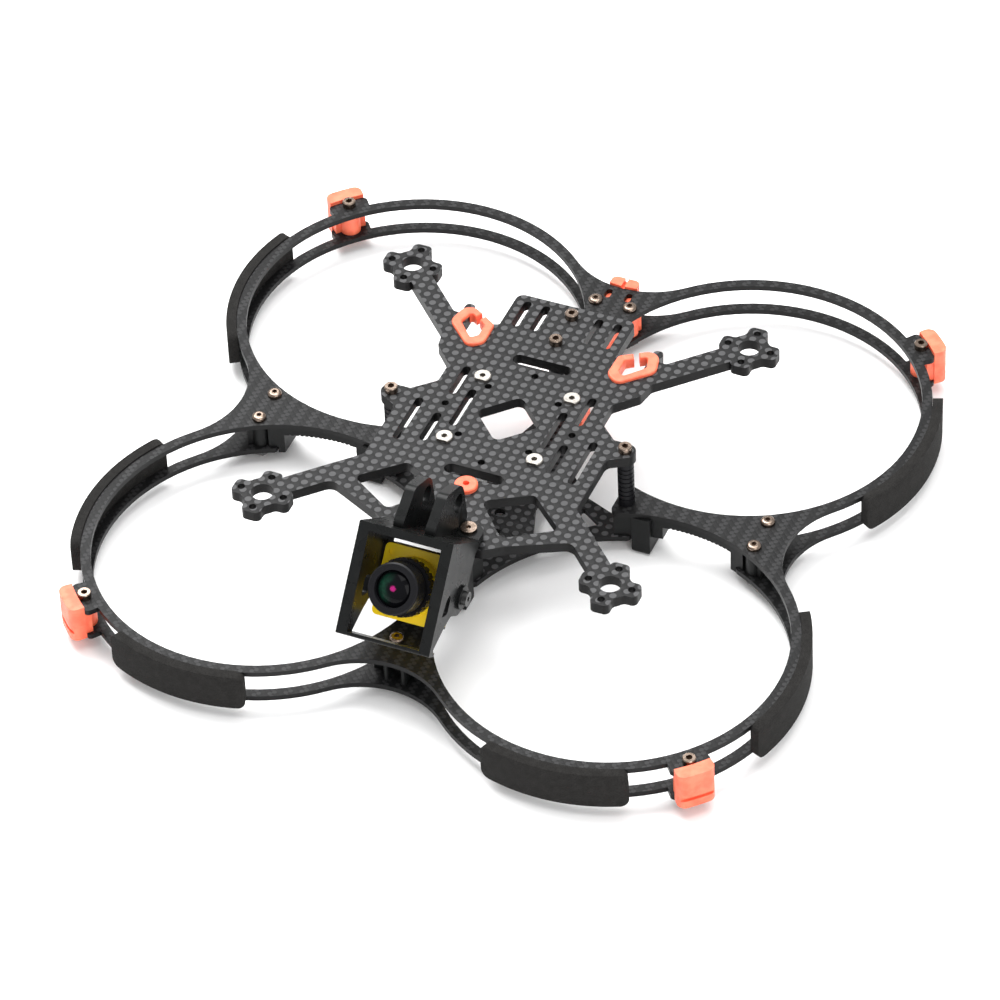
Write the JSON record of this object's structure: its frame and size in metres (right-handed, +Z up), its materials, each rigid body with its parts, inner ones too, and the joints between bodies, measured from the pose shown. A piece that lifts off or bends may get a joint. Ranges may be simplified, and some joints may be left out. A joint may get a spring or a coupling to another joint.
{
  "type": "fpv racing drone",
  "caption": "Open FPV racing drone frame: carbon main plate over ring guards round each propeller space, foam pads, soft corner bumpers, and a nose cage with a tilting camera.",
  "frame": {"origin": "middle of the flight controller hole pattern on the main plate's top face", "axes": "+Z up, -Y towards the nose and camera, +X to the right seen from in front looking back"},
  "size_m": [0.2004, 0.1976, 0.0506],
  "materials": {
    "carbon_plate": "woven carbon laminate, satin",
    "carbon_guard": "woven carbon laminate, low contrast",
    "orange_soft_plastic": "printed soft plastic, layered",
    "black_foam": "dense closed-cell foam",
    "black_moulding": "moulded nylon, slightly glossy",
    "black_column": "black anodised, knurled",
    "yellow_shell": "satin yellow",
    "circuit_board": "solder mask",
    "lens_black": "black anodised",
    "lens_glass": "coated glass",
    "bright_steel": "plated",
    "bronze_steel": "dark bronze plated",
    "dark_steel": "black oxide"
  },
  "bodies": {
    "frame": {"bottom_plate": "carbon_plate", "bumper_nuts": "dark_steel", "bumper_screws": "bronze_steel", "cage_flange_nuts": "dark_steel", "cage_flange_screws": "bronze_steel", "camera_cage": "black_moulding", "front_grommet": "orange_soft_plastic", "front_left_bumper": "orange_soft_plastic", "front_left_nose_pad": "black_foam", "front_left_side_pad": "black_foam", "front_right_bumper": "orange_soft_plastic", "front_right_nose_pad": "black_foam", "front_right_side_pad": "black_foam", "front_spacer_block": "black_moulding", "front_tongue_nut": "dark_steel", "junction_nuts": "dark_steel", "junction_screws": "bronze_steel", "left_arm_clip": "orange_soft_plastic", "left_spacer_block": "black_moulding", "left_standoff": "black_column", "lower_guard_plate": "carbon_guard", "main_plate": "carbon_plate", "rear_aerial_block": "orange_soft_plastic", "rear_left_bumper": "orange_soft_plastic", "rear_left_pad": "black_foam", "rear_right_bumper": "orange_soft_plastic", "rear_right_pad": "black_foam", "rear_standoff_inner": "black_column", "rear_standoff_outer": "black_column", "right_arm_clip": "orange_soft_plastic", "right_spacer_block": "black_moulding", "right_standoff": "black_column", "stack_nuts": "dark_steel", "stack_screws": "bright_steel", "top_cap_screws": "bronze_steel", "underside_screws": "bronze_steel", "upper_guard_plate": "carbon_guard"},
    "camera": {"camera_front_shell": "yellow_shell", "camera_back_shell": "black_moulding", "camera_sensor_board": "circuit_board", "camera_pivot_screws": "dark_steel"},
    "lens": {"lens_barrel": "lens_black", "lens_glass": "lens_glass"},
    "lock_ring": {"lens_lock_ring": "lens_black"}
  },
  "joints": [
    {"name": "camera_tilt", "type": "hinge", "parent": "frame", "child": "camera", "pos_m": [0, -0.06061, -0.00641], "axis": [1, 0, 0], "range_deg": [-15, 15]},
    {"name": "lens_focus", "type": "hinge", "parent": "camera", "child": "lens", "pos_m": [0, -0.06452, -0.00329], "axis": [0, 0.7815, -0.6239], "range_deg": [-180, 180]},
    {"name": "lock_ring_turn", "type": "hinge", "parent": "lens", "child": "lock_ring", "pos_m": [0, -0.06804, -0.00048], "axis": [0, 0.7815, -0.6239], "continuous": true}
  ]
}
